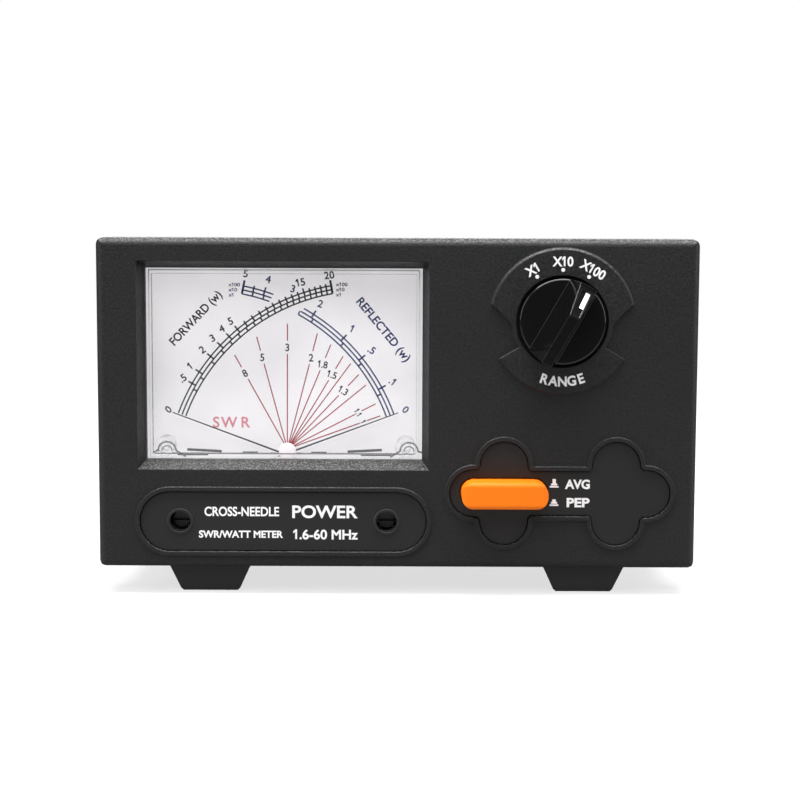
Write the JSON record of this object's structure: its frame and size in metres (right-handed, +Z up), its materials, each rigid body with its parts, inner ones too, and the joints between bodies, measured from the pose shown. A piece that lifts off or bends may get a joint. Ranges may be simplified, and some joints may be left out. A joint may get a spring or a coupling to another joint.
{
  "type": "cross-needle swr meter",
  "caption": "Bench meter in a dark case with a crossed-needle dial, a range knob, a wide push button, an inlaid lobed plate and coaxial sockets at the back.",
  "frame": {"origin": "on the standing surface, under the middle of the bounding box", "axes": "+X to the right as the user faces the dial, +Y from the front panel to the back, +Z up"},
  "size_m": [0.155, 0.1204, 0.0928],
  "materials": {
    "case_plastic": "fine texture",
    "inlay_plastic": "smooth satin",
    "painted_steel": "fine texture paint",
    "zinc_steel": "zinc plated",
    "painted_aluminium": "matt paint",
    "foot_rubber": "matt",
    "zinc_screw": "zinc plated",
    "black_screw": "black oxide",
    "clear_plastic": "clear polished",
    "black_plastic": "satin",
    "dial_white": "printed matt",
    "circuit_board": "solder mask",
    "lamp_clear": "clear resin",
    "needle_black": "matt",
    "copper_wire": "enamelled",
    "bronze": "bright",
    "soft_iron": "plated",
    "magnet": "ground",
    "cast_alloy": "cast",
    "brass_part": "turned",
    "adjuster_white": "satin",
    "knob_gloss": "polished",
    "nickel": "nickel plated",
    "button_orange": "satin",
    "trimmer_blue": "satin",
    "tinplate": "tinned",
    "ferrite": "matt",
    "white_insulator": "satin"
  },
  "bodies": {
    "case": {"front_panel": "case_plastic", "switch_plate": "inlay_plastic", "badge_plate": "inlay_plastic", "top_cover": "painted_steel", "chassis": "zinc_steel", "rear_panel": "painted_aluminium", "foot_front_left": "foot_rubber", "foot_front_right": "foot_rubber", "foot_rear_left": "foot_rubber", "foot_rear_right": "foot_rubber", "foot_screws": "zinc_screw", "case_screws": "black_screw", "panel_screws": "zinc_screw", "meter_cover": "clear_plastic", "meter_case": "black_plastic", "meter_screws": "zinc_screw", "dial_plate": "dial_white", "lamp_board": "circuit_board", "lamps": "lamp_clear", "forward_hairspring": "bronze", "reflected_hairspring": "bronze", "forward_yoke": "soft_iron", "reflected_yoke": "soft_iron", "core_magnets": "magnet", "forward_frame": "cast_alloy", "reflected_frame": "cast_alloy", "forward_bridge": "cast_alloy", "reflected_bridge": "cast_alloy", "jewel_screws": "brass_part", "range_switch": "black_plastic", "range_nut": "nickel", "push_switch": "black_plastic", "control_board": "circuit_board", "board_parts": "black_plastic", "trimmers": "trimmer_blue", "coupler_box": "tinplate", "coupler_lid": "tinplate", "line_rod": "brass_part", "toroids": "ferrite", "coupler_board": "circuit_board", "socket_transmitter": "nickel", "socket_antenna": "nickel", "socket_insulators": "white_insulator", "socket_contacts": "brass_part", "socket_screws": "nickel", "power_jack": "black_plastic"},
    "forward_pointer": {"forward_needle": "needle_black", "forward_coil": "copper_wire"},
    "reflected_pointer": {"reflected_needle": "needle_black", "reflected_coil": "copper_wire"},
    "forward_adjuster": {"forward_zero_screw": "black_plastic"},
    "reflected_adjuster": {"reflected_zero_screw": "black_plastic"},
    "forward_lever": {"forward_zero_lever": "zinc_screw"},
    "reflected_lever": {"reflected_zero_lever": "zinc_screw"},
    "range_control": {"knob": "knob_gloss", "range_shaft": "soft_iron"},
    "button": {"push_button": "button_orange", "push_plunger": "adjuster_white"},
    "forward_calibration": {"forward_trimmer": "adjuster_white"},
    "reflected_calibration": {"reflected_trimmer": "adjuster_white"}
  },
  "joints": [
    {"name": "forward_needle_turn", "type": "hinge", "parent": "case", "child": "forward_pointer", "pos_m": [-0.0081, -0.03075, 0.02765], "axis": [0, 1, 0], "range_deg": [-1.5, 61], "stiffness_Nm_per_rad": 0.00002, "deforming": ["forward_hairspring"]},
    {"name": "reflected_needle_turn", "type": "hinge", "parent": "case", "child": "reflected_pointer", "pos_m": [-0.0509, -0.02975, 0.02765], "axis": [0, -1, 0], "range_deg": [-1.5, 61], "stiffness_Nm_per_rad": 0.00002, "deforming": ["reflected_hairspring"]},
    {"name": "forward_adjuster_turn", "type": "hinge", "parent": "case", "child": "forward_adjuster", "pos_m": [-0.0027, -0.03425, 0.0194], "axis": [0, 1, 0], "range_deg": [-40, 40]},
    {"name": "reflected_adjuster_turn", "type": "hinge", "parent": "case", "child": "reflected_adjuster", "pos_m": [-0.0563, -0.03425, 0.0194], "axis": [0, 1, 0], "range_deg": [-40, 40]},
    {"name": "forward_lever_turn", "type": "hinge", "parent": "case", "child": "forward_lever", "pos_m": [-0.0081, -0.03075, 0.02765], "axis": [0, 1, 0], "range_deg": [-4, 4]},
    {"name": "reflected_lever_turn", "type": "hinge", "parent": "case", "child": "reflected_lever", "pos_m": [-0.0509, -0.02975, 0.02765], "axis": [0, 1, 0], "range_deg": [-4, 4]},
    {"name": "range_turn", "type": "hinge", "parent": "case", "child": "range_control", "pos_m": [0.04225, -0.04125, 0.07165], "axis": [0, 1, 0], "range_deg": [-60, 0]},
    {"name": "button_push", "type": "slide", "parent": "case", "child": "button", "axis": [0, 1, 0], "range_m": [0, 0.003], "stiffness_N_per_m": 600, "springref_m": -0.001},
    {"name": "forward_calibration_turn", "type": "hinge", "parent": "case", "child": "forward_calibration", "pos_m": [0.0556, -0.01765, 0.03805], "axis": [0, 1, 0], "range_deg": [-105, 105]},
    {"name": "reflected_calibration_turn", "type": "hinge", "parent": "case", "child": "reflected_calibration", "pos_m": [0.0556, -0.01765, 0.02805], "axis": [0, 1, 0], "range_deg": [-105, 105]}
  ],
  "couplings": [
    {"joint": "forward_lever_turn", "follows": "forward_adjuster_turn", "ratio": 0.07505},
    {"joint": "reflected_lever_turn", "follows": "reflected_adjuster_turn", "ratio": 0.07505}
  ]
}
